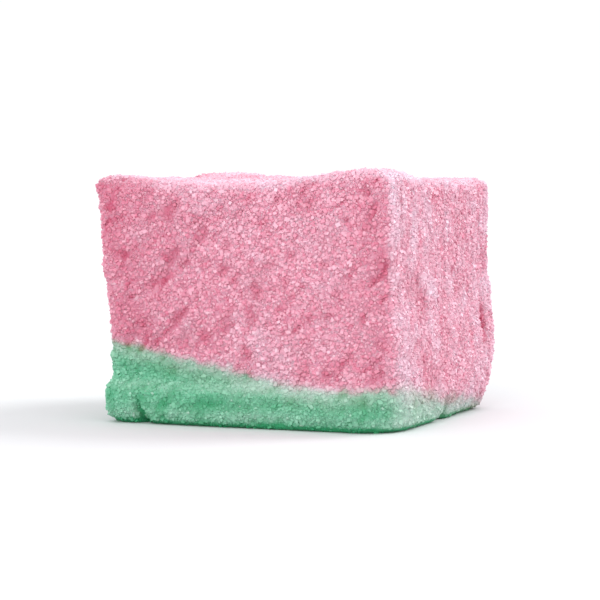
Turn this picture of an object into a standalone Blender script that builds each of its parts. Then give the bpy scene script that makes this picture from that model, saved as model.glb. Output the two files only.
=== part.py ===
"""One sugar-coated marshmallow cube, settled a little out of square, as a single solid.

Metres, +Z up. The origin is the middle of the face it rests on, the broad front looks along -Y.
The coat's grains are left to the finish: this is the pressed and slumped body, base fold included.
"""
import math

import bmesh
import bpy
from mathutils import Matrix, Vector

MM = 0.001

# Driving dimensions
WIDTH = 36.3 * MM           # along X, across the front
DEPTH = 33.5 * MM           # along Y
HEIGHT = 28.0 * MM          # up to the highest corner of the rim

RIM_ROUND = 1.4 * MM         # radius where a wall turns into the top
BASE_ROUND = 0.8 * MM        # radius where a wall turns under
EDGE_ROUND_TOP = 1.2 * MM    # plan radius of the upright edges, from a third of the height up
EDGE_ROUND_FRONT = (1.2 * MM, 5.0 * MM)   # and at the base, where the slump has opened three of them:
EDGE_ROUND_BACK = (3.0 * MM, 3.5 * MM)    # the left edge and the right one

# The slump: the left end leans in from the rim down to a height, and the right end swells
LEFT_LEAN = 2.1 * MM
LEFT_LEAN_HEIGHT = 10.0 * MM
LEFT_LEAN_CURVE = 1.4        # 1 is straight, and more leans in sooner
RIGHT_BULGE = 1.0 * MM
RIGHT_BULGE_HEIGHT = 7.0 * MM
RIGHT_BULGE_SPREAD = 7.0 * MM
FRONT_BULGE = 0.2 * MM
BACK_BULGE = 0.6 * MM

# Towards the back the right end's foot turns under in a wide curve
TUCK = 1.0 * MM
TUCK_HEIGHT = 5.0 * MM

# The fold that the slump pushed out along the base, with a shallow groove above it
FOLD_CORNER = math.radians(-138)  # direction of the corner where the fold is strongest
FOLD = 0.9 * MM
FOLD_HEIGHT = 2.7 * MM
FOLD_SPREAD = 2.0 * MM
GROOVE = 0.15 * MM
GROOVE_HEIGHT = 5.6 * MM
GROOVE_SPREAD = 1.3 * MM

# Creases that split the fold: (outward direction, place along that wall, depth)
CREASES = (
    ((0, -1), -13.5 * MM, 0.9 * MM),
    ((1, 0), -0.3 * MM, 0.9 * MM),
    ((-1, 0), 4.1 * MM, 0.7 * MM),
    ((0, 1), 7.4 * MM, 0.8 * MM),
)
CREASE_SPREAD = 1.1 * MM
CREASE_TOP = 5.0 * MM

# The top: low places and high places, as (x, y, how far up, how wide)
TOP_FORM = (
    (15.0 * MM, -14.0 * MM, 1.3 * MM, 7.0 * MM),
    (-16.0 * MM, -15.0 * MM, 0.4 * MM, 5.0 * MM),
    (-3.0 * MM, -14.0 * MM, -0.5 * MM, 8.0 * MM),
    (0.0 * MM, 2.0 * MM, -0.7 * MM, 11.0 * MM),
    (-14.0 * MM, 13.0 * MM, 0.5 * MM, 6.0 * MM),
)

# Slow swells over the walls: (rise, waves round the section, waves up the height, start)
SWELLS = (
    (0.15 * MM, 3.0, 0.7, 0.4),
    (0.10 * MM, 5.0, 1.3, 2.1),
    (0.07 * MM, 9.0, 2.1, 4.0),
)

CELLS = 14                  # cage cells along each edge
LEVELS = 1                  # subdivision levels


def bell(distance, spread):
    """1 at no distance, falling smoothly to nothing over about two spreads."""
    return math.exp(-((distance / spread) ** 2))


def smooth_step(value, low, high):
    """0 below low, 1 above high, with a soft turn at both ends."""
    t = min(max((value - low) / (high - low), 0.0), 1.0)
    return t * t * (3.0 - 2.0 * t)


def crowded(c):
    """Moves a cage coordinate from -1 to 1 towards its nearer end, to give the edges more rows."""
    return c * (1.5 - 0.5 * c * c)


def rounded_profile(inset, height, full_height):
    """Rounds the rim and the base turn: takes and gives a distance in from the wall, and a height."""
    for level, sign, radius in ((full_height, 1, RIM_ROUND), (0.0, -1, BASE_ROUND)):
        past = sign * (height - level) + radius
        if past > 0.0 and inset < radius:
            reach = radius / math.hypot(radius - inset, past)
            inset = radius - (radius - inset) * reach
            height = level - sign * (radius - past * reach)
    return inset, height


def between(pair, share):
    """The value this share of the way from the first of a pair to the second."""
    return pair[0] + (pair[1] - pair[0]) * share


def edge_round(x, y, up):
    """Plan radius of the nearest upright edge, at this share of the height."""
    to_right = smooth_step(x, -WIDTH / 4, WIDTH / 4)
    to_back = smooth_step(y, -DEPTH / 4, DEPTH / 4)
    at_base = between((between(EDGE_ROUND_FRONT, to_right), between(EDGE_ROUND_BACK, to_right)), to_back)
    return between((at_base, EDGE_ROUND_TOP), smooth_step(up, 0.05, 0.32))


def section(qx, qy, up):
    """The plan outline: a rectangle with round corners. Gives the point and its outward direction."""
    half = Vector((WIDTH / 2, DEPTH / 2))
    raw = Vector((qx * half.x, qy * half.y))
    radius = edge_round(raw.x, raw.y, up)
    core = Vector(max(-h + radius, min(h - radius, r)) for h, r in zip(half, raw))
    outward = (raw - core).normalized()
    return core + outward * radius, outward


def base_fold(height, around):
    """The fold, flat in its middle, and the groove above: most at FOLD_CORNER, least opposite it."""
    strength = 0.55 + 0.45 * math.cos(around - FOLD_CORNER)
    fold = FOLD * math.exp(-(((height - FOLD_HEIGHT) / FOLD_SPREAD) ** 4))
    return strength * (fold - GROOVE * bell(height - GROOVE_HEIGHT, GROOVE_SPREAD))


def creases(x, y, height, outward):
    """How far the creases pull the wall in: most at the base, and nothing above CREASE_TOP."""
    pull = 0.0
    for (nx, ny), place, depth in CREASES:
        faces = max(outward.x * nx + outward.y * ny, 0.0)
        along = x * abs(ny) + y * abs(nx)
        fade = 1.0 - smooth_step(height, 0.35 * CREASE_TOP, CREASE_TOP)
        pull += depth * faces * fade * bell(along - place, CREASE_SPREAD)
    return pull


def wall_offset(x, y, height, outward):
    """How far the wall stands out of its plain place at this point, along the outward direction."""
    around = math.atan2(y, x)
    front = max(-outward.y, 0.0) ** 2
    back = max(outward.y, 0.0) ** 2
    offset = (front * FRONT_BULGE + back * BACK_BULGE) * math.sin(math.pi * height / HEIGHT)
    for rise, turns, waves, start in SWELLS:
        up = math.cos(2 * math.pi * waves * height / HEIGHT + start)
        offset += rise * math.sin(turns * around + start) * up
    tuck = TUCK * smooth_step(y, -DEPTH / 8, DEPTH / 3)
    offset -= tuck * max(outward.x, 0.0) * max(1.0 - height / TUCK_HEIGHT, 0.0) ** 2
    return offset + base_fold(height, around) - creases(x, y, height, outward)


def slump(x, height):
    """How far the left end leans in and the right end swells out, along X."""
    below_rim = min((HEIGHT - height) / (HEIGHT - LEFT_LEAN_HEIGHT), 1.0)
    leaning = 1.0 - (1.0 - below_rim) ** LEFT_LEAN_CURVE
    lean = LEFT_LEAN * leaning * smooth_step(-x, 0.0, WIDTH / 2)
    swell = RIGHT_BULGE * bell(height - RIGHT_BULGE_HEIGHT, RIGHT_BULGE_SPREAD)
    return lean + swell * smooth_step(x, 0.0, WIDTH / 2)


def top_form(x, y):
    """The top's highs and lows."""
    return sum(
        rise * bell(math.hypot(x - cx, y - cy), spread) for cx, cy, rise, spread in TOP_FORM
    )


def place(cage_point):
    """Carries a point of the cage cube (-1 to 1 each way) onto the marshmallow's surface."""
    cx, cy, cz = (crowded(c) for c in cage_point)
    reach = max(abs(cx), abs(cy))
    if reach < 1e-6:
        qx, qy = 1.0, 0.0
    else:
        qx, qy = cx / reach, cy / reach
    half = (WIDTH + DEPTH) / 4
    inset, height = rounded_profile((1.0 - reach) * half, (cz + 1.0) / 2 * HEIGHT, HEIGHT)
    scale = 1.0 - inset / half
    up = height / HEIGHT
    wall, outward = section(qx, qy, up)
    wall_height = min(max(height, 0.0), HEIGHT)
    offset = wall_offset(wall.x, wall.y, wall_height, outward)
    x, y = (wall + outward * offset) * scale
    return Vector((x + slump(x, height), y, height + top_form(x, y) * up * up))


def evaluated_corners(obj):
    """The lowest and highest corner of the object's box, with its modifiers."""
    evaluated = obj.evaluated_get(bpy.context.evaluated_depsgraph_get())
    points = [v.co for v in evaluated.data.vertices]
    low = Vector(min(p[i] for p in points) for i in range(3))
    high = Vector(max(p[i] for p in points) for i in range(3))
    return low, high


def bring_to_size(obj):
    """Scales the mesh to the driving dimensions, centred over the origin with its base at z = 0."""
    low, high = evaluated_corners(obj)
    scale = [s / (b - a) for s, a, b in zip((WIDTH, DEPTH, HEIGHT), low, high)]
    foot = Vector(((low.x + high.x) / 2, (low.y + high.y) / 2, low.z))
    resize = Matrix.Diagonal((*scale, 1.0))
    obj.data.transform(resize @ Matrix.Translation(-foot))


def sugared_pink():
    """The finish: a dry, finely grained pink."""
    material = bpy.data.materials.new("sugared_pink")
    material.use_nodes = True
    shader = material.node_tree.nodes["Principled BSDF"]
    shader.inputs["Base Color"].default_value = (0.78, 0.33, 0.42, 1.0)
    shader.inputs["Roughness"].default_value = 0.75
    shader.inputs["Metallic"].default_value = 0.0
    material.diffuse_color = shader.inputs["Base Color"].default_value
    return material


def build_marshmallow(collection):
    """The one solid: a gridded cube whose points are carried onto the form, then subdivided."""
    bm = bmesh.new()
    bmesh.ops.create_cube(bm, size=2.0)
    bmesh.ops.subdivide_edges(bm, edges=bm.edges[:], cuts=CELLS - 1, use_grid_fill=True)
    for vert in bm.verts:
        vert.co = place(vert.co)
    mesh = bpy.data.meshes.new("marshmallow")
    bm.to_mesh(mesh)
    bm.free()
    mesh.shade_smooth()
    mesh.materials.append(sugared_pink())
    obj = bpy.data.objects.new("marshmallow", mesh)
    collection.objects.link(obj)
    soften = obj.modifiers.new("soften", "SUBSURF")
    soften.levels = LEVELS
    soften.render_levels = LEVELS
    bring_to_size(obj)
    return obj


def main():
    for obj in list(bpy.data.objects):
        bpy.data.objects.remove(obj)
    collection = bpy.data.collections.new("marshmallow")
    bpy.context.scene.collection.children.link(collection)
    build_marshmallow(collection)


main()
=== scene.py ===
import itertools
import math

import bpy
import numpy as np
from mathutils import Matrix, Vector


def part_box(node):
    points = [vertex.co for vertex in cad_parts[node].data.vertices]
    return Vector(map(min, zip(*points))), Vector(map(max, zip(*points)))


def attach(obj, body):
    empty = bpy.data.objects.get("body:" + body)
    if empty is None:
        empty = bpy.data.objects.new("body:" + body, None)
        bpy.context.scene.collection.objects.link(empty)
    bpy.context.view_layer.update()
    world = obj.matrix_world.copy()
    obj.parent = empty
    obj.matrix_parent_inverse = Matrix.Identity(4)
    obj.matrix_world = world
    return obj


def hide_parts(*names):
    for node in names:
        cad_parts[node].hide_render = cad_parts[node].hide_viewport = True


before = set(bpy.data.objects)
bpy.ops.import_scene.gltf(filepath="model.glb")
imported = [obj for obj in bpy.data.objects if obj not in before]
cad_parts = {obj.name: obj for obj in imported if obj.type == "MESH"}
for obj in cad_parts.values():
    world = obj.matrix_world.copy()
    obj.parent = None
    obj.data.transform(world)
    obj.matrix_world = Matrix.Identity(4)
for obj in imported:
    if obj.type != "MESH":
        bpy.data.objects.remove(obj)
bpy.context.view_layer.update()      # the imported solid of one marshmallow, with its record

mm = 0.001             # shapes are worked out in millimetres and put into meshes in metres
nodeLow, nodeHigh = (np.array(corner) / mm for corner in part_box("marshmallow"))
width, depth, height = nodeHigh - nodeLow
print("frame loaded:", sorted(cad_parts), np.round([width, depth, height], 2), "mm")


def bell(distance, spread):
    # e to the minus (distance over spread) squared: 1 in the middle, nothing past two spreads
    return np.exp(-((distance / spread) ** 2))


def smoothStep(value, low, high):
    # 3t² - 2t³ of the share t of the way from low to high, held at 0 and 1 outside
    share = np.clip((value - low) / (high - low), 0.0, 1.0)
    return share * share * (3.0 - 2.0 * share)


def between(first, second, share):
    # the first plus the share of the way to the second
    return first + (second - first) * share


def unit(vectors):
    # each vector over its own length
    return vectors / np.maximum(np.linalg.norm(vectors, axis=-1, keepdims=True), 1e-12)


turned = np.linalg.qr(np.random.default_rng(11).normal(size=(3, 3)))[0]   # a fixed odd turn
latticeSide = 64       # cells along each side of a cloud's lattice, after which it repeats
latticeShift = 17.3    # cells, so that the origin is nowhere special in it


def cloud(points, size, seed):
    # Random numbers from -1 to 1 on a cubic lattice "size" apart, turned off the axes.
    # A point takes its cell's eight corners, each weighted by 3t² - 2t³ of its share along each side.
    # The seed is any whole number, and each use has its own.
    lattice = np.random.default_rng(seed).uniform(-1.0, 1.0, (latticeSide,) * 3)
    spots = points @ turned / size + latticeShift
    cells = np.floor(spots).astype(int)
    share = smoothStep(spots - cells, 0.0, 1.0)
    total = np.zeros(len(points))
    for corner in itertools.product((0, 1), repeat=3):
        weight = np.prod(np.where(np.array(corner) == 1, share, 1.0 - share), axis=1)
        i, j, k = ((cells + corner) % latticeSide).T
        total += weight * lattice[i, j, k]
    return total


def layers(points, size, seed, count=3):
    # Clouds added up, each half the size and half the strength of the one before
    return sum(cloud(points, size / 2 ** n, seed + n) / 2 ** n for n in range(count))


# The marshmallow's form, by the same rule as the solid's
form = {
    "rimRound": 1.3,          # where a wall turns into the top
    "baseRound": 0.8,         # where a wall turns under
    "edgeRoundTop": 1.0,      # plan radius of the upright edges higher up
    "edgeRoundFront": (1.2, 5.0),   # and at the base: the front's left edge and its right
    "edgeRoundBack": (3.0, 3.5),    # and the back's
    "edgeOpens": (0.05, 0.32),      # shares of the height between which the one gives way to the other
    "leftLean": 2.1,          # the left end leans in this far
    "leftLeanHeight": 10.0,   # at this height and below
    "leftLeanCurve": 1.4,     # 1 is straight, and more leans in sooner
    "rightBulge": 1.0,
    "rightBulgeHeight": 7.0,
    "rightBulgeSpread": 7.0,
    "frontBulge": 0.2,
    "backBulge": 0.6,
    "tuck": 1.0,              # towards the back the right end's foot turns under this far
    "tuckHeight": 5.0,        # from this height down
    "fold": 0.9,              # the slump's fold along the base
    "foldHeight": 2.7,
    "foldSpread": 2.0,
    "groove": 0.15,           # the groove above it
    "grooveHeight": 5.6,
    "grooveSpread": 1.3,
    "foldCorner": math.radians(-138),   # direction of the corner where both are strongest
    "foldSwing": (0.55, 0.45),          # their mean strength, and how much it gains or loses round
    "creaseTop": 5.0,         # the creases that split the fold reach this high
    "creaseFade": 1.7,        # 1 fades evenly from the base up, and more fades sooner
    "creaseWave": (0.15, 1.7),          # how far each wanders to the side, and its turn for each mm up
    "creaseWidths": (0.6, 0.8),         # shares of its spread at its top, and added at the base
    "creases": (              # outward direction, place along the wall, lean, depth, spread
        ((0, -1), -13.7, -0.1, 1.9, 0.60),
        ((1, 0), -0.1, 0.15, 2.3, 0.85),
        ((-1, 0), 4.1, -0.2, 1.6, 0.55),
        ((0, 1), 7.4, -0.2, 1.6, 0.55),
    ),
    "topForm": (              # x, y, how far up, how wide
        (15.0, -14.0, 1.3, 7.0),
        (-16.0, -15.0, 0.4, 5.0),
        (-3.0, -14.0, -0.5, 8.0),
        (0.0, 2.0, -0.7, 11.0),
        (-14.0, 13.0, 0.5, 6.0),
    ),
    "swells": (               # rise, waves round the walls, waves up them, start
        (0.15, 3.0, 0.7, 0.4),
        (0.10, 5.0, 1.3, 2.1),
        (0.07, 9.0, 2.1, 4.0),
    ),
}


def creaseShares(x, y, z, outward):
    # For each crease its depth, and a bell across it that leans and follows a small wave up the
    # wall, narrows and fades on the way up to the crease's top, and counts only where the wall
    # faces the crease's own way
    fade = np.maximum(1.0 - z / form["creaseTop"], 0.0) ** form["creaseFade"]
    wander, turn = form["creaseWave"]
    widthAtTop, widthAdded = form["creaseWidths"]
    for (nx, ny), place, lean, deep, spread in form["creases"]:
        faces = np.maximum(outward[:, 0] * nx + outward[:, 1] * ny, 0.0)
        across = x * abs(ny) + y * abs(nx) - place - lean * z - wander * np.sin(turn * z)
        yield deep, faces * fade * bell(across, spread * (widthAtTop + widthAdded * fade))


def wallOffset(x, y, z, outward):
    # Bulges times the sine of the height, plus waves round times waves up, plus the fold, e to the
    # minus a fourth power and so flat in its middle, less the groove's bell, both with a strength
    # that goes with the cosine of the way round from one corner, less the tuck's square
    around = np.arctan2(y, x)
    front = np.maximum(-outward[:, 1], 0.0) ** 2
    back = np.maximum(outward[:, 1], 0.0) ** 2
    offset = (front * form["frontBulge"] + back * form["backBulge"]) * np.sin(math.pi * z / height)
    for rise, turns, waves, start in form["swells"]:
        up = np.cos(2 * math.pi * waves * z / height + start)
        offset += rise * np.sin(turns * around + start) * up
    mean, swing = form["foldSwing"]
    strength = mean + swing * np.cos(around - form["foldCorner"])
    fold = form["fold"] * np.exp(-(((z - form["foldHeight"]) / form["foldSpread"]) ** 4))
    groove = form["groove"] * bell(z - form["grooveHeight"], form["grooveSpread"])
    offset += strength * (fold - groove)
    under = np.maximum(1.0 - z / form["tuckHeight"], 0.0) ** 2
    tuck = form["tuck"] * smoothStep(y, -depth / 8, depth / 3)
    return offset - tuck * np.maximum(outward[:, 0], 0.0) * under


def settledCube(cube):
    # cube: points on the surface of the cube from -1 to 1, which are first crowded towards its edges,
    # each number c to 1.5c less half of c cubed. Height and the distance in from the wall are
    # rounded by an arc at the rim and the base, the plan is a rectangle with round corners scaled by
    # that distance, and the wall offset less each crease's depth times its share, the lean and the
    # top's rises are added. Gives the creases' shares too.
    crowded = cube * (1.5 - 0.5 * cube ** 2)
    reach = np.maximum(np.abs(crowded[:, :2]).max(axis=1), 1e-6)
    half = (width + depth) / 4
    inset, z = (1.0 - reach) * half, (crowded[:, 2] + 1.0) / 2 * height
    for level, sign, radius in ((height, 1, form["rimRound"]), (0.0, -1, form["baseRound"])):
        past = sign * (z - level) + radius
        turns = (past > 0.0) & (inset < radius)
        arc = radius / np.maximum(np.hypot(radius - inset, past), 1e-9)
        newInset = radius - (radius - inset) * arc
        newZ = level - sign * (radius - past * arc)
        inset, z = np.where(turns, newInset, inset), np.where(turns, newZ, z)
    up = z / height
    halves = np.array([width, depth]) / 2
    raw = crowded[:, :2] / reach[:, None] * halves
    toRight = smoothStep(raw[:, 0], -width / 4, width / 4)
    toBack = smoothStep(raw[:, 1], -depth / 4, depth / 4)
    front, back = (between(*form[pair], toRight) for pair in ("edgeRoundFront", "edgeRoundBack"))
    atBase = between(front, back, toBack)
    corner = between(atBase, form["edgeRoundTop"], smoothStep(up, *form["edgeOpens"]))
    core = np.clip(raw, corner[:, None] - halves, halves - corner[:, None])
    outward = unit(raw - core)
    wall = core + outward * corner[:, None]
    place = (wall[:, 0], wall[:, 1], np.clip(z, 0.0, height), outward)
    shares = list(creaseShares(*place))
    offset = wallOffset(*place) - sum(deep * share for deep, share in shares)
    x, y = ((wall + outward * offset[:, None]) * (1.0 - inset / half)[:, None]).T
    belowRim = np.clip((height - z) / (height - form["leftLeanHeight"]), 0.0, 1.0)
    lean = form["leftLean"] * (1.0 - (1.0 - belowRim) ** form["leftLeanCurve"])
    swell = form["rightBulge"] * bell(z - form["rightBulgeHeight"], form["rightBulgeSpread"])
    shift = lean * smoothStep(-x, 0.0, width / 2) + swell * smoothStep(x, 0.0, width / 2)
    rise = sum(r * bell(np.hypot(x - cx, y - cy), spread) for cx, cy, r, spread in form["topForm"])
    points = np.stack([x + shift, y, z + rise * up * up], axis=1)
    return points, sum(share for _, share in shares)


def sidePatch(side, u, v):
    # One side of the cube as a function of u and v from -1 to 1: the side's axis is held at its sign,
    # and the other two follow u and v in an order that makes the patch face outwards
    axis, sign = side // 2, 1 - 2 * (side % 2)
    points = np.empty((len(u), 3))
    points[:, axis] = sign
    points[:, (axis + 1) % 3] = u * sign
    points[:, (axis + 2) % 3] = v
    return points


def closedGrid(cells):
    # The six patches on one lattice: whole-number places are matched, so that seams share points.
    # Gives the cube's points, the faces, and each corner's place on a three by two map.
    steps = np.arange(cells + 1)
    j, i = (a.ravel() for a in np.meshgrid(steps, steps, indexing="ij"))
    u, v = 2 * i / cells - 1, 2 * j / cells - 1
    order = np.arange(len(i)).reshape(cells + 1, cells + 1)
    loop = np.stack([order[:-1, :-1], order[:-1, 1:], order[1:, 1:], order[1:, :-1]], axis=-1)
    lattice, corners, mapped = [], [], []
    margin = 0.03   # round each patch on the map
    for side in range(6):
        lattice.append(np.rint((sidePatch(side, u, v) + 1) * cells / 2).astype(int))
        corners.append(loop.reshape(-1, 4) + side * len(i))
        spot = np.stack([i, j], axis=1) / cells * (1.0 - 2 * margin) + margin
        mapped.append((spot + [side % 3, side // 3]) / [3, 2])
    points, index = np.unique(np.concatenate(lattice), axis=0, return_inverse=True)
    corners = np.concatenate(corners)
    return points * 2.0 / cells - 1.0, index.ravel()[corners], np.concatenate(mapped)[corners]


def pointNormals(points, faces):
    # Each face's normal is the cross product of its diagonals, and a point takes the sum of its faces'
    p = points[faces]
    crossed = np.cross(p[:, 2] - p[:, 0], p[:, 3] - p[:, 1])
    normals = np.zeros_like(points)
    for n in range(4):
        np.add.at(normals, faces[:, n], crossed)
    return unit(normals)


# Where the two colours lie, through the whole piece
marble = {
    "layerLeast": 4.5,        # the green base layer at its thinnest on the front
    "layerPlace": 8.0,        # where along the front it starts to thicken, towards the left
    "layerSlope": 0.183,      # how fast it does
    "layerBend": 2.0,         # and how soft the start is
    "leftBackward": 0.12,     # how fast it thickens towards the back at the left end
    "rightBackward": 0.12,    # and thins at the right
    "leftToRight": (-10.0, 16.0),        # where along the front the one gives way to the other
    "swellCentre": (-20.0, 18.0, 8.0),   # the green's swell up the far edge
    "swellHalves": (13.0, 18.0, 15.0),   # and its half sizes
    "wobble": (6.0, 0.8),     # size and strength of the waves in the green's edge
    "wobbleShares": (0.5, 1.4),          # how much of them the layer takes, and the swell
    "fray": (0.9, 0.4),       # size and strength of its finer waves
    "softness": (0.6, 1.5),   # half the width over which the colours meet, and on the right end
    "slowShare": 0.12,        # this much of the change comes slowly
    "slowDepths": (0.3, 3.0),            # between these depths in the green
}


def greenDepth(points):
    # Signed distance in about mm, the larger of two. One is the distance below the top of the base
    # layer: its least, plus a slope times the distance left of a place, which starts softly as half
    # of that distance plus its hypotenuse with the bend, plus a slope times the distance back. The
    # other is the distance inside the swell's ellipsoid. Both are shaken by clouds.
    x, y, z = points.T
    size, strength = marble["wobble"]
    shake = strength * layers(points, size, 51, 3)
    toPlace = marble["layerPlace"] - x
    start = (toPlace + np.hypot(toPlace, marble["layerBend"])) / 2
    slopes = marble["leftBackward"], -marble["rightBackward"]
    backward = between(*slopes, smoothStep(x, *marble["leftToRight"]))
    top = marble["layerLeast"] + marble["layerSlope"] * start
    top += np.maximum(y + depth / 2, 0.0) * backward
    halves = np.array(marble["swellHalves"])
    inside = 1.0 - np.linalg.norm((points - marble["swellCentre"]) / halves, axis=1)
    layerShare, swellShare = marble["wobbleShares"]
    fineSize, fineStrength = marble["fray"]
    fray = fineStrength * cloud(points, fineSize, 61)
    return np.maximum(top - z + layerShare * shake, inside * halves.min() + swellShare * shake) + fray


skin = {
    "cells": 127,             # cells along each edge of each of the six sides
    "coat": 0.12,             # how far the skin stays inside the solid, for the sugar's thickness
    "settles": (0.05, 0.9),   # the relief sets in between these heights, so that the foot is flat
    "leastHeight": 0.02,
    "middle": (-2.0, 9.0),    # place and spread of the smoother middle of the front
    "lumps": (2.4, 0.11),     # size and rise of the lumps, each halved twice
    "lumpsLow": (0.8, 3.0, 4.0),    # how much more they rise low down, at what height, and its spread
    "lumpsLess": (0.3, 0.45),       # and how much less on the right end, and in the middle
    "grain": (0.8, 0.07),     # and of the finer grain, halved once
    "flecks": (0.62, 0.14),   # size and depth of the fine pits
    "flecksCrowd": (2.6, 0.2),      # size and strength of the cloud that crowds them
    "flecksSetIn": (0.10, 0.85),    # cloud values where they start and where they are deepest
    "flecksLess": 0.5,        # how much shallower on the right end
    "flecksSqueeze": 0.5,     # they are drawn out up to the right by one over this
    "pits": (0.9, 0.09),      # size and depth of the fewer larger ones
    "pitsCrowd": (0.7, 0.5),
    "pitsSetIn": (0.45, 1.25),
    "pitsLess": (0.45, 0.8),  # how much shallower on the right end, and in the middle
    "drags": (1.0, 0.30),     # spacing and rise of the slanting drag marks on the left of the front
    "dragsSqueeze": 0.22,
    "dragsFrom": ((-6.0, 12.0), (6.0, 10.0)),   # distances to the left, and heights, where they set in
    "ribs": (1.3, 0.11),      # spacing and rise of the upright ones on the right end
    "ribsSqueeze": 0.18,
    "ribsFrom": (3.0, 7.0),   # heights where they set in
    "furrowLean": 0.06,       # how far they lean for each mm up
    "furrows": (              # upright furrows on the right end: y, z, half length, spread, depth
        (-12.7, 25.1, 1.5, 0.45, 0.25),
        (-7.9, 16.0, 1.6, 0.45, 0.22),
        (-6.0, 13.6, 1.2, 0.50, 0.18),
        (-13.8, 14.8, 1.2, 0.40, 0.14),
        (8.2, 9.8, 0.9, 0.50, 0.18),
        (12.7, 10.2, 2.1, 0.95, 0.72),
    ),
    "dimpleSpread": 0.55,
    "dimples": (              # pits on the front beside its right edge: x, z, half length, depth
        (16.7, 17.6, 1.0, 0.30),
        (16.1, 6.7, 0.7, 0.26),
    ),
    "baseGroove": (2.7, 0.6, 0.22),   # height, spread and depth of the groove within the base layer
    "grooveWanders": (5.0, 0.4),      # size and strength of the cloud that moves it up and down
    "grooveBreaks": (2.2, 0.65, 0.7), # size, mean and strength of the one that breaks it up
    "grooveFrom": (-11.0, -6.0),      # places along the front where it sets in
    "grooveTo": (13.0, 17.0),         # and where it runs out
    "grooveAround": (0.5, 0.6),       # its strength on the left end, and on the back
    # How far a place faces right is its normal's part to the right less its part to the front. In
    # these ranges of it the looks go over from the front's to the right end's:
    "rightTurn": (-0.3, 0.7),
    "calmTurn": (-0.8, 0.9),          # for the calm in the green
}


def slanted(points, squeeze):
    # Turned by an eighth of a turn about Y, with the distance up to the right times the squeeze, so
    # that a cloud taken there is drawn out that way
    x, y, z = points.T
    return np.stack([(x - z) / math.sqrt(2), y, (x + z) / math.sqrt(2) * squeeze], axis=1)


def skinRelief(points, normals, front, right):
    # Lumps and grain are layered clouds, flecks and pits are the part of a cloud above a level, drag
    # marks and ribs are clouds drawn out along a direction, and furrows, dimples and the groove are
    # bells, the groove's broken by a cloud. Gives the whole rise, and each mark's own strength.
    x, y, z = points.T
    place, spread = skin["middle"]
    middle = bell(x - place, spread) * front
    (lumpSize, lumpRise), (grainSize, grainRise) = skin["lumps"], skin["grain"]
    more, lowHeight, lowSpread = skin["lumpsLow"]
    lessRight, lessMiddle = skin["lumpsLess"]
    rough = 1.0 + more * bell(z - lowHeight, lowSpread) - lessRight * right - lessMiddle * middle
    rise = lumpRise * layers(points, lumpSize, 3) * rough + grainRise * layers(points, grainSize, 23, 2)

    (fleckSize, fleckDepth), (crowdSize, crowding) = skin["flecks"], skin["flecksCrowd"]
    flecks = cloud(slanted(points, skin["flecksSqueeze"]), fleckSize, 33)
    flecks = smoothStep(flecks + crowding * cloud(points, crowdSize, 34), *skin["flecksSetIn"])
    flecks *= 1.0 - skin["flecksLess"] * right
    (pitSize, pitDepth), (crowdSize, crowding) = skin["pits"], skin["pitsCrowd"]
    pits = cloud(points, pitSize, 31) + crowding * cloud(points, crowdSize, 32)
    lessRight, lessMiddle = skin["pitsLess"]
    pits = smoothStep(pits, *skin["pitsSetIn"]) * (1.0 - lessRight * right - lessMiddle * middle)

    (dragSize, dragRise), (toLeft, upwards) = skin["drags"], skin["dragsFrom"]
    dragged = smoothStep(-x, *toLeft) * smoothStep(z, *upwards) * front
    drags = cloud(slanted(points, skin["dragsSqueeze"]), dragSize, 41) * dragged
    ribSize, ribRise = skin["ribs"]
    upright = np.stack([x, y, skin["ribsSqueeze"] * z], axis=1)
    ribs = layers(upright, ribSize, 45, 2) * right * smoothStep(z, *skin["ribsFrom"])

    furrows = np.zeros(len(points))
    for fy, fz, half, spread, deep in skin["furrows"]:
        across = y - fy - skin["furrowLean"] * (z - fz)
        furrows += deep * bell(across, spread) * bell(z - fz, half) * right
    for fx, fz, half, deep in skin["dimples"]:
        furrows += deep * bell(x - fx, skin["dimpleSpread"]) * bell(z - fz, half) * front

    grooveHeight, grooveSpread, grooveDepth = skin["baseGroove"]
    breakSize, mean, breaking = skin["grooveBreaks"]
    broken = np.clip(mean + breaking * cloud(points, breakSize, 47), 0.0, 1.0)
    along = smoothStep(x, *skin["grooveFrom"]) * (1.0 - smoothStep(x, *skin["grooveTo"])) * front
    onLeft, onBack = skin["grooveAround"]
    around = onLeft * np.maximum(-normals[:, 0], 0.0) + onBack * np.maximum(normals[:, 1], 0.0)
    wanderSize, wandering = skin["grooveWanders"]
    wander = z - grooveHeight - wandering * cloud(points, wanderSize, 48)
    groove = bell(wander, grooveSpread) * np.clip(along + around, 0.0, 1.0) * broken

    rise += dragRise * drags + ribRise * ribs - furrows
    rise -= fleckDepth * flecks + pitDepth * pits + grooveDepth * groove
    return rise, {
        "middle": middle, "flecks": flecks, "pits": pits, "drags": drags, "ribs": ribs,
        "furrows": furrows, "groove": groove,
    }


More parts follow.
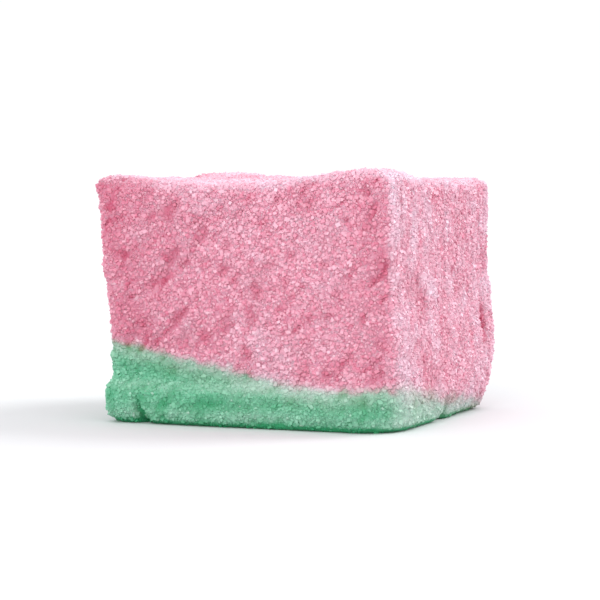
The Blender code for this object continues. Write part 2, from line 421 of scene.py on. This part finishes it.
# How far each mark takes the skin towards its deep colours, as shares that add up: bare of sugar,
# and painted shade
bareAndShadeShares = {
    # flecks and pits: thin sugar in them, and painted shade in their hollows
    "flecks": 0.6,
    "pits": 0.4,
    "patches": (3.5, 0.30),   # size and share of the thin patches
    "drags": 0.25,            # painted shade in the hollows between the drag marks
    "lessInGreen": 0.2,       # how much less of those four in the green
    "lessWhereCalm": 0.6,     # in the green towards the right end
    "lessInMiddle": 0.2,      # and in the middle of the front
    "veins": (2.0, 0.34),     # size and share of the green's bare veins
    "veinsSetIn": (0.25, 0.9),      # cloud values where they start and where they are barest
    # painted shade in the groove
    "groove": 0.33,
    # painted shade in the creases
    "creases": 1.8,
    "contact": (0.25, 0.8),   # painted shade along the foot: full below the one height and none above the other
    "leftEnd": 0.35,          # painted shade towards the left of the front's pink, where less light falls
    "leftEndFrom": (2.0, 16.0),     # distances to the left where that sets in
    "leftEndFlecks": 0.5,     # how many more of the flecks count there
    "besideEdge": (2.0, 3.5, 0.20), # painted shade on the front: how far from its right edge, spread and share
    "besideEdgeTurn": (0.1, 0.7),   # how far a place faces front where that sets in
    "furrows": 2.2,           # painted shade in the furrows and dimples, for each mm of their depth
    "furrowsMost": 0.9,
}


def bareAndShadeShare(points, front, right, relief, creased, inGreen, calm):
    # The sum of each mark's share times its strength, and of the places' shares times smooth
    # steps and bells, held at 0 and 1: bare where sugar is thin, and painted shade in hollows, the
    # groove, creases and furrows, along the foot, towards the front's left end and beside its right edge
    x, z = points[:, 0], points[:, 2]
    # painted shade along the foot, where it meets the floor
    contact = 1.0 - smoothStep(z, *bareAndShadeShares["contact"])
    veinSize, veinShare = bareAndShadeShares["veins"]
    veins = veinShare * smoothStep(layers(points, veinSize, 85, 2), *bareAndShadeShares["veinsSetIn"])
    patchSize, patchShare = bareAndShadeShares["patches"]
    thin = np.maximum(layers(points, patchSize, 81), 0.0) * patchShare
    # painted shade in the hollows between the drag marks
    thin += np.maximum(-relief["drags"], 0.0) * bareAndShadeShares["drags"]
    # painted shade towards the left end of the front
    leftEnd = smoothStep(-x, *bareAndShadeShares["leftEndFrom"]) * front * (1.0 - inGreen)
    flecks = relief["flecks"] * (1.0 + bareAndShadeShares["leftEndFlecks"] * leftEnd)
    # painted shade on the front beside its right edge
    fromEdge, spread, edgeShare = bareAndShadeShares["besideEdge"]
    besideEdge = bell(x - width / 2 + fromEdge, spread)
    besideEdge *= smoothStep(front - right, *bareAndShadeShares["besideEdgeTurn"])
    kept = 1.0 - bareAndShadeShares["lessInGreen"] * inGreen - bareAndShadeShares["lessWhereCalm"] * calm
    kept -= bareAndShadeShares["lessInMiddle"] * relief["middle"]
    # thin sugar, and painted shade in the hollows of flecks and pits
    bareAndPaintedShade = (bareAndShadeShares["flecks"] * flecks + bareAndShadeShares["pits"] * relief["pits"] + thin) * kept
    # painted shade in the groove, the creases and along the foot
    bareAndPaintedShade += inGreen * veins + bareAndShadeShares["groove"] * relief["groove"] + bareAndShadeShares["creases"] * creased + contact
    bareAndPaintedShade += bareAndShadeShares["leftEnd"] * leftEnd + edgeShare * besideEdge
    # painted shade in the furrows and dimples
    bareAndPaintedShade += np.minimum(bareAndShadeShares["furrows"] * relief["furrows"], bareAndShadeShares["furrowsMost"])
    return np.clip(bareAndPaintedShade, 0.0, 1.0)


# How far sugar dust whitens the skin, and where light is painted on it, as shares that add up
dustAndPaintedLight = {
    "everywhere": 0.04,
    "top": (0.30, 0.2, 2.5),  # sugar dust and painted light on the top: share, how uneven it is, and over what size
    "topTurn": (0.15, 0.75),  # the normal's upward part where it sets in
    # sugar dust and painted light on the right end, which faces the light
    "rightEnd": 0.22,
    "ribs": 0.17,             # on the right end's ribs
    "nearEdge": (2.2, 2.8),   # a painted highlight along the near edge there: how far from the front, and spread
    "nearEdgeShares": (0.04, 0.21),           # its share low down, and what it gains higher up
    "nearEdgeRises": ((4.0, 7.0), (14.0, 26.0)),    # heights where it starts, and where it gains
    "stripe": (4.5, 0.9, 0.25),               # an upright stripe there: place, spread and share
    "stripeRises": (19.0, 26.0),
    "meeting": (0.4, 0.9),    # the line where the colours meet: depth in the green, and spread
    "meetingShares": (0.38, 0.24),            # its share, and how much less on the right end
    "lowFold": (1.2, 0.6, 0.18),              # the foot of the fold: height, spread and share
    "calm": 0.26,             # in the green towards the right end: sugar dust and painted light
    "patches": ((4.0, 0.10), (1.8, 0.12)),    # size and share of broad patches, and of finer ones
    "patchesMore": 0.4,       # on the right end
    "patchesLess": 0.4,       # in the green
    "most": 0.8,
}


def frostAndLightShare(points, normals, right, relief, depthIn, inGreen, calm, facesRight):
    # The sum of the dust's and the painted light's shares, each times the smooth steps, bells or clouds of
    # its place
    y, z = points[:, 1], points[:, 2]
    share, uneven, size = dustAndPaintedLight["top"]
    # the top is whitened by sugar dust and by painted light from above
    topRim = smoothStep(normals[:, 2], *dustAndPaintedLight["topTurn"]) * (share + uneven * cloud(points, size, 71))
    # a painted highlight in a band beside the near edge, stronger higher up
    fromFront, spread = dustAndPaintedLight["nearEdge"]
    (starts, gains), (low, gained) = dustAndPaintedLight["nearEdgeRises"], dustAndPaintedLight["nearEdgeShares"]
    edge = bell(y + depth / 2 - fromFront, spread) * smoothStep(z, *starts)
    edge *= low + gained * smoothStep(z, *gains)
    place, spread, share = dustAndPaintedLight["stripe"]
    stripe = share * bell(y - place, spread) * smoothStep(z, *dustAndPaintedLight["stripeRises"])
    # the right end is whitened by sugar dust and by painted light
    side = facesRight * (dustAndPaintedLight["rightEnd"] + edge + stripe + dustAndPaintedLight["ribs"] * relief["ribs"])
    (place, spread), (share, less) = dustAndPaintedLight["meeting"], dustAndPaintedLight["meetingShares"]
    meeting = (share - less * facesRight) * bell(depthIn - place, spread)
    place, spread, share = dustAndPaintedLight["lowFold"]
    lowFold = share * bell(z - place, spread)
    (broadSize, broad), (fineSize, fine) = dustAndPaintedLight["patches"]
    patches = broad * layers(points, broadSize, 72) + fine * layers(points, fineSize, 74, 2)
    patches *= 1.0 + dustAndPaintedLight["patchesMore"] * right - dustAndPaintedLight["patchesLess"] * inGreen
    frostAndPaintedLight = dustAndPaintedLight["everywhere"] + topRim + side + meeting + lowFold + dustAndPaintedLight["calm"] * calm + patches
    return np.clip(frostAndPaintedLight, 0.0, dustAndPaintedLight["most"])


def skinMarks(points, normals, creased):
    # The relief, and three shares from 0 to 1 at each place: "marbling" is the smooth step of the
    # green's depth over its softness, a little of it over the slow depths, the second is where sugar is
    # thin and where shade is painted, and the third where its dust lies thick and where light is painted
    front = np.maximum(-normals[:, 1], 0.0)
    right = np.maximum(normals[:, 0], 0.0)
    depthIn = greenDepth(points)
    rise, relief = skinRelief(points, normals, front, right)
    inGreen = smoothStep(depthIn, 0.0, 1.0)
    calm = inGreen * smoothStep(right - front, *skin["calmTurn"])
    facesRight = smoothStep(right - front, *skin["rightTurn"])
    bareAndPaintedShade = bareAndShadeShare(points, front, right, relief, creased, inGreen, calm)
    frostAndPaintedLight = frostAndLightShare(points, normals, right, relief, depthIn, inGreen, calm, facesRight)
    softness, slow = between(*marble["softness"], facesRight), marble["slowShare"]
    marbled = (1.0 - slow) * smoothStep(depthIn, -softness, softness)
    marbled += slow * smoothStep(depthIn, *marble["slowDepths"])
    return rise, {"marbling": marbled, "bareAndPaintedShade": bareAndPaintedShade, "frostAndPaintedLight": frostAndPaintedLight}


def newPiece(name, points, faces, mapped, marks, material, smooth):
    # Puts points in mm, faces with the same count of corners, a map place for each corner, and the
    # marks of the points into a mesh
    sides = faces.shape[1]
    mesh = bpy.data.meshes.new(name)
    mesh.vertices.add(len(points))
    mesh.vertices.foreach_set("co", (points * mm).astype(np.float32).ravel())
    mesh.loops.add(faces.size)
    mesh.loops.foreach_set("vertex_index", faces.astype(np.int32).ravel())
    mesh.polygons.add(len(faces))
    mesh.polygons.foreach_set("loop_start", np.arange(0, faces.size, sides, dtype=np.int32))
    mesh.polygons.foreach_set("use_smooth", np.full(len(faces), smooth))
    mesh.update(calc_edges=True)
    mesh.uv_layers.new(name="OFBake").uv.foreach_set("vector", mapped.astype(np.float32).ravel())
    for label, values in marks.items():
        spread = mesh.attributes.new(label, "FLOAT", "POINT")
        spread.data.foreach_set("value", values.astype(np.float32))
    mesh.materials.append(material)
    piece = bpy.data.objects.new(name, mesh)
    bpy.context.scene.collection.objects.link(piece)
    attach(piece, "root")
    return piece


colours = {                   # as linear red, green and blue
    # the deep colours are the bare foam, and also the painted shade
    "pinkDeep": (0.58, 0.105, 0.190),
    "pink": (0.735, 0.245, 0.355),
    "pinkGrain": (0.880, 0.530, 0.635),
    "mintDeep": (0.030, 0.330, 0.140),
    "mint": (0.132, 0.463, 0.277),
    "mintGrain": (0.218, 0.585, 0.385),
    # the frost colours are sugar dust, and carry the cool tint of painted light
    "pinkFrostAndLight": (0.80, 0.700, 0.800),
    "mintFrostAndLight": (0.56, 0.675, 0.605),
    # the clearest grains' white, partly a painted glint
    "clearGrainAndGlint": (0.95, 0.900, 0.930),
}


class NodeMaker:
    # Short ways to add nodes to one material's tree
    def __init__(self, name):
        # a new material and the shader that it starts with
        self.material = bpy.data.materials.new(name)
        self.material.use_nodes = True
        self.tree = self.material.node_tree
        self.shader = self.tree.nodes["Principled BSDF"]

    def node(self, kind, **settings):
        # a node of this kind, with its own settings
        made = self.tree.nodes.new(kind)
        for label, value in settings.items():
            setattr(made, label, value)
        return made

    def link(self, source, target):
        # one node's output into another's input
        self.tree.links.new(source, target)

    def fill(self, sockets, values):
        # a number or a colour is set on its socket, and another node's output is linked to it
        for socket, value in zip(sockets, values):
            if isinstance(value, tuple):
                socket.default_value = (*value, 1.0)
            elif isinstance(value, (int, float)):
                socket.default_value = value
            else:
                self.link(value, socket)

    def mark(self, label):
        # one of the values that newPiece puts on each point
        return self.node("ShaderNodeAttribute", attribute_name=label).outputs["Fac"]

    def maths(self, operation, first, second, clamp=False):
        # the two values put together by the operation
        made = self.node("ShaderNodeMath", operation=operation, use_clamp=clamp)
        self.fill(made.inputs, (first, second))
        return made.outputs[0]

    def mix(self, share, first, second):
        # a colour this share of the way from the first to the second
        made = self.node("ShaderNodeMix", data_type="RGBA")
        self.fill((made.inputs[0], made.inputs[6], made.inputs[7]), (share, first, second))
        return made.outputs[2]

    def pattern(self, kind, size, **settings):
        # a noise or cell pattern whose features are "size" millimetres across
        made = self.node(kind)
        made.inputs["Scale"].default_value = 1.0 / (size * mm)
        for label, value in settings.items():
            made.inputs[label].default_value = value
        self.link(self.node("ShaderNodeTexCoord").outputs["Object"], made.inputs["Vector"])
        return made


def foamColour(make, tone):
    # The two colours by the marbling mark, from skin to grain by the tone, then towards frost by its
    # mark, which also paints light on the top and the right end, and last towards the deep colours where
    # the sugar is thin and where shade is painted
    marbled, bareAndPaintedShade = make.mark("marbling"), make.mark("bareAndPaintedShade")
    under = make.mix(marbled, colours["pink"], colours["mint"])
    over = make.mix(marbled, colours["pinkGrain"], colours["mintGrain"])
    deep = make.mix(marbled, colours["pinkDeep"], colours["mintDeep"])
    frostAndPaintedLight = make.mix(marbled, colours["pinkFrostAndLight"], colours["mintFrostAndLight"])
    sugared = make.mix(make.mark("frostAndPaintedLight"), make.mix(tone, under, over), frostAndPaintedLight)
    return make.mix(bareAndPaintedShade, sugared, deep)


foam = {
    "grainSize": 0.40,        # of the sugar worked into it
    "grainHeight": 0.14,
    "grainStrength": 0.7,     # share of that height that the shading shows
    "unevenSize": 1.1,        # of the noise in its tones
    "unevenDetail": 3.0,
    "roughness": 0.55,
    "translucent": 0.6,       # share of the light that goes in and comes out again
    "translucentDepth": 1.1,  # how far that goes
    "translucentTint": (1.0, 0.6, 0.65),   # and how far its red, green and blue go, as shares
}


def skinMaterial():
    # Foam with sugar worked into it: each cell of a fine pattern is one grain, a little dome with
    # its own tone, and a noise makes the tones uneven
    make = NodeMaker("marshmallowSkin")
    cells = make.pattern("ShaderNodeTexVoronoi", foam["grainSize"])
    parts = make.node("ShaderNodeSeparateColor")
    make.link(cells.outputs["Color"], parts.inputs["Color"])
    uneven = make.pattern("ShaderNodeTexNoise", foam["unevenSize"], Detail=foam["unevenDetail"])
    tone = make.maths("MULTIPLY", parts.outputs["Red"], uneven.outputs["Fac"], clamp=True)
    make.link(foamColour(make, tone), make.shader.inputs["Base Color"])
    make.shader.inputs["Roughness"].default_value = foam["roughness"]
    make.shader.inputs["Subsurface Weight"].default_value = foam["translucent"]
    make.shader.inputs["Subsurface Radius"].default_value = foam["translucentTint"]
    make.shader.inputs["Subsurface Scale"].default_value = foam["translucentDepth"] * mm
    dome = make.maths("SUBTRACT", 1.0, cells.outputs["Distance"])
    bump = make.node("ShaderNodeBump")
    bump.inputs["Strength"].default_value = foam["grainStrength"]
    bump.inputs["Distance"].default_value = foam["grainHeight"] * mm
    make.link(dome, bump.inputs["Height"])
    make.link(bump.outputs["Normal"], make.shader.inputs["Normal"])
    return make.material


crystal = {
    "roughness": 0.42,
    "refraction": 1.54,
    "clearAndGlintRarity": 40.0,      # the power of a grain's tone that makes the clearest few, whose white is partly a painted glint
}


def grainMaterial(name, settings):
    # A grain shows the colour under it, paler by its own tone, and the few with the highest tone
    # go part of the way to a clear white, which is partly a painted glint
    make = NodeMaker(name)
    tone = make.mark("tone")
    tinted = foamColour(make, make.maths("MULTIPLY", tone, settings["paleness"]))
    # the clearest few go towards white: clear sugar, and partly painted glints
    rare = make.maths("POWER", tone, crystal["clearAndGlintRarity"])
    clearAndGlintShare = make.maths("MULTIPLY", rare, settings["clearAndGlint"])
    make.link(make.mix(clearAndGlintShare, tinted, colours["clearGrainAndGlint"]), make.shader.inputs["Base Color"])
    make.shader.inputs["Roughness"].default_value = crystal["roughness"]
    make.shader.inputs["IOR"].default_value = crystal["refraction"]
    return make.material


def makeSkin():
    # The settled cube on the closed grid, fitted to the solid's box less the coat, and moved along
    # its normals by the relief. The resting face stays flat.
    cube, faces, mapped = closedGrid(skin["cells"])
    points, creased = settledCube(cube)
    low, high = points.min(axis=0), points.max(axis=0)
    inner = np.array([width, depth, height]) - skin["coat"] * np.array([2, 2, 1])
    points = (points - (low + high) / 2) * inner / (high - low)
    points[:, 2] += inner[2] / 2
    normals = pointNormals(points, faces)
    rise, marks = skinMarks(points, normals, creased)
    raised = smoothStep(points[:, 2], *skin["settles"])
    points = points + normals * (rise * raised)[:, None]
    points[:, 2] = np.maximum(points[:, 2], skin["leastHeight"])
    piece = newPiece("marshmallowSkin", points, faces, mapped, marks, skinMaterial(), True)
    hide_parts("marshmallow")
    print("skin:", len(points), "points,", 2 * len(faces), "triangles")
    return points, faces, marks


# The sugar coat's kinds of grain. Sizes are in mm, "sunk" is the least share of a grain that is under
# the skin before "deeper" is added, "paleness" how far its colour goes from the skin's, and the
# clear share how white the clearest few are, partly as painted glints.
sugar = {
    "fineSugar": {
        "shape": "shard", "count": 24800, "size": (0.24, 0.38), "sunk": 0.40,
        "paleness": 0.75, "clearAndGlint": 0.35, "smooth": True, "seed": 101,
    },
    "midSugar": {
        "shape": "shard", "count": 24800, "size": (0.36, 0.52), "sunk": 0.43,
        "paleness": 0.8, "clearAndGlint": 0.25, "smooth": True, "seed": 102,
    },
    "blockSugar": {
        "shape": "block", "count": 16600, "size": (0.30, 0.44), "sunk": 0.42,
        "paleness": 0.85, "clearAndGlint": 0.2, "smooth": False, "seed": 103,
    },
    "coarseSugar": {
        "shape": "block", "count": 5000, "size": (0.42, 0.56), "sunk": 0.44,
        "paleness": 0.8, "clearAndGlint": 0.15, "smooth": False, "seed": 104,
    },
}

# What the kinds have in common
coat = {
    "thinning": 0.85,         # how many fewer grains lie where the mark of bare skin and painted shade is full
    "stretch": ((0.85, 0.75, 0.6), (1.15, 1.0, 0.9)),   # a grain's least and most along its own axes
    "cornersUneven": (0.75, 1.05),      # how far out a corner lies, as a share of its even place
    "standingOut": (0.2, 1.0),          # its middle is lifted by this much of a half less "sunk"
    "deeper": 0.035,          # how much deeper than that all of them sit, in mm
    "deeperInGreen": (0.025, 0.1),      # how much more in the green, and for all of its frost and painted light
    "mapSlant": 0.35,         # how far a grain's height leans on its map, to part its corners there
    "mapShare": 0.6,          # how much of its cell on the map it takes
}

# The two shapes about the origin, about one across: corners, and faces as loops that face outwards
blockCorners = np.array(list(itertools.product((-0.5, 0.5), repeat=3)))
blockFaces = np.array([(0, 1, 3, 2), (4, 6, 7, 5), (0, 4, 5, 1), (2, 3, 7, 6), (0, 2, 6, 4), (1, 5, 7, 3)])
shardReach = 0.62
shardCorners = np.concatenate([np.eye(3), -np.eye(3)]) * shardReach
upperFaces = [(0, 1, 2), (1, 3, 2), (3, 4, 2), (4, 0, 2)]
shardFaces = np.array(upperFaces + [(b, a, 5) for a, b, _ in upperFaces])
grainShapes = {"block": (blockCorners, blockFaces), "shard": (shardCorners, shardFaces)}


def randomTurns(rng, count):
    # Random unit quaternions w, x, y, z turned into rotation matrices
    w, x, y, z = unit(rng.normal(size=(count, 4))).T
    return np.stack([
        1 - 2 * (y * y + z * z), 2 * (x * y - w * z), 2 * (x * z + w * y),
        2 * (x * y + w * z), 1 - 2 * (x * x + z * z), 2 * (y * z - w * x),
        2 * (x * z - w * y), 2 * (y * z + w * x), 1 - 2 * (x * x + y * y),
    ], axis=1).reshape(-1, 3, 3)


def makeSugar(name, points, faces, marks, normals):
    # Each grain is a shape with uneven corners, turned at random. Its place is a random spot on a
    # skin cell picked by area along the running total, so that the coat is even, and fewer are picked
    # where the skin is bare and where shade is painted. On the map each grain has a small cell of its own.
    settings = sugar[name]
    rng = np.random.default_rng(settings["seed"])
    p = points[faces]
    area = np.linalg.norm(np.cross(p[:, 2] - p[:, 0], p[:, 3] - p[:, 1]), axis=1)
    total = np.cumsum(area * (1.0 - coat["thinning"] * marks["bareAndPaintedShade"][faces].mean(axis=1)))
    count = settings["count"]
    picks = np.searchsorted(total, (np.arange(count) + rng.random(count)) / count * total[-1])
    picks = np.minimum(picks, len(faces) - 1)
    u, v = rng.random((2, count, 1))
    weights = np.stack([(1 - u) * (1 - v), u * (1 - v), u * v, (1 - u) * v], axis=1)[:, :, 0]

    def onSkin(values):
        # the sum of a cell's four corners, each times its weight at the grain's spot
        return np.einsum("nc,nc...->n...", weights, values[faces[picks]])

    shapeCorners, shapeFaces = grainShapes[settings["shape"]]
    each = len(shapeCorners)
    size = rng.uniform(*settings["size"], count)
    stretch = rng.uniform(*coat["stretch"], (count, 3))
    corners = shapeCorners * (size[:, None] * stretch)[:, None, :]
    corners = corners * rng.uniform(*coat["cornersUneven"], (count, each, 1))
    corners = np.einsum("nij,nkj->nki", randomTurns(rng, count), corners)
    lift = size * (0.5 - settings["sunk"]) * rng.uniform(*coat["standingOut"], count)
    green, frosted = coat["deeperInGreen"]
    lift -= coat["deeper"] + onSkin(marks["marbling"]) * (green + frosted * onSkin(marks["frostAndPaintedLight"]))
    centres = onSkin(points) + unit(onSkin(normals)) * lift[:, None]
    made = (centres[:, None, :] + corners).reshape(-1, 3)
    made[:, 2] = np.maximum(made[:, 2], 0.0)   # pressed flat where the cube rests
    grainFaces = (shapeFaces + each * np.arange(count)[:, None, None]).reshape(-1, shapeFaces.shape[1])

    mapCells = math.ceil(math.sqrt(count))
    spot = np.stack([np.arange(count) % mapCells, np.arange(count) // mapCells], axis=1) + 0.5
    flat = (shapeCorners[:, :2] + coat["mapSlant"] * shapeCorners[:, 2:]) * coat["mapShare"]
    grainMap = ((spot[:, None, :] + flat).reshape(-1, 2) / mapCells)[grainFaces]

    grainMarks = {label: np.repeat(onSkin(marks[label]), each) for label in marks}
    grainMarks["tone"] = np.repeat(rng.random(count), each)
    material = grainMaterial(name, settings)
    newPiece(name, made, grainFaces, grainMap, grainMarks, material, settings["smooth"])
    triangles = len(grainFaces) * (shapeFaces.shape[1] - 2)
    print(name + ":", count, "grains,", triangles, "triangles")


points, faces, marks = makeSkin()
normals = pointNormals(points, faces)
for grainName in sugar:
    makeSugar(grainName, points, faces, marks, normals)


# Floor, light and camera
stage = {
    "floorSize": 6.0,                 # in metres, as all of this part
    "floorColour": (0.685, 0.694, 0.706),
    "floorRoughness": 0.9,
    "floorGloss": 0.1,
    "surroundColour": (0.98, 0.99, 1.0),
    "surround": 0.94,                 # strength of the white all round
    "whiteToCamera": 1.04,            # and of the white that the camera sees behind everything
    "suns": (                         # name, azimuth and elevation it shines from, strength, soft angle
        ("rightLight", 132.0, 40.0, 1.50, 28.0),
        ("frontLight", 0.0, 28.0, 0.98, 50.0),
        ("topLight", 20.0, 80.0, 0.65, 60.0),
    ),
    "cameraAzimuth": 23.5,            # 0 looks along +Y
    "cameraDistance": 0.270,
    "cameraHeight": 0.0294,
    "cameraNearest": 0.01,            # what is nearer is not seen
    "aimHeight": 0.0130,
    "lens": 143.0,
}


def direction(azimuth, elevation):
    # From the object: out by azimuth from -Y towards +X, and up by elevation
    a, e = math.radians(azimuth), math.radians(elevation)
    return Vector((math.sin(a) * math.cos(e), -math.cos(a) * math.cos(e), math.sin(e)))


def makeStage():
    # A square floor, and suns turned so that each shines from its azimuth and elevation
    mesh = bpy.data.meshes.new("floor")
    h = stage["floorSize"] / 2
    mesh.from_pydata([(-h, -h, 0), (h, -h, 0), (h, h, 0), (-h, h, 0)], [], [(0, 1, 2, 3)])
    make = NodeMaker("floor")
    make.shader.inputs["Base Color"].default_value = (*stage["floorColour"], 1.0)
    make.shader.inputs["Roughness"].default_value = stage["floorRoughness"]
    make.shader.inputs["Specular IOR Level"].default_value = stage["floorGloss"]
    mesh.materials.append(make.material)
    floor = bpy.data.objects.new("floor", mesh)
    bpy.context.scene.collection.objects.link(floor)
    for name, azimuth, elevation, strength, softness in stage["suns"]:
        light = bpy.data.lights.new(name, "SUN")
        light.energy = strength
        light.angle = math.radians(softness)
        lamp = bpy.data.objects.new(name, light)
        lamp.rotation_euler = direction(azimuth, elevation).to_track_quat("Z", "Y").to_euler()
        bpy.context.scene.collection.objects.link(lamp)


def makeWorld():
    # The camera sees plain white, and the light from all round is weaker
    world = bpy.data.worlds.new("studio")
    bpy.context.scene.world = world
    world.use_nodes = True
    tree = world.node_tree
    background = tree.nodes["Background"]
    background.inputs["Color"].default_value = (*stage["surroundColour"], 1.0)
    path = tree.nodes.new("ShaderNodeLightPath")
    strength = tree.nodes.new("ShaderNodeMapRange")
    strength.inputs["To Min"].default_value = stage["surround"]
    strength.inputs["To Max"].default_value = stage["whiteToCamera"]
    tree.links.new(path.outputs["Is Camera Ray"], strength.inputs["Value"])
    tree.links.new(strength.outputs["Result"], background.inputs["Strength"])
    bpy.context.scene.view_settings.view_transform = "Standard"


def makeCamera():
    # Stands its distance out along its azimuth, and looks at a point above the origin
    data = bpy.data.cameras.new("camera")
    data.lens = stage["lens"]
    data.clip_start = stage["cameraNearest"]
    camera = bpy.data.objects.new("camera", data)
    out = direction(stage["cameraAzimuth"], 0.0) * stage["cameraDistance"]
    camera.location = out + Vector((0.0, 0.0, stage["cameraHeight"]))
    aim = Vector((0.0, 0.0, stage["aimHeight"])) - camera.location
    camera.rotation_euler = aim.to_track_quat("-Z", "Y").to_euler()
    bpy.context.scene.collection.objects.link(camera)
    bpy.context.scene.camera = camera


makeStage()
makeWorld()
makeCamera()
print("stage made")
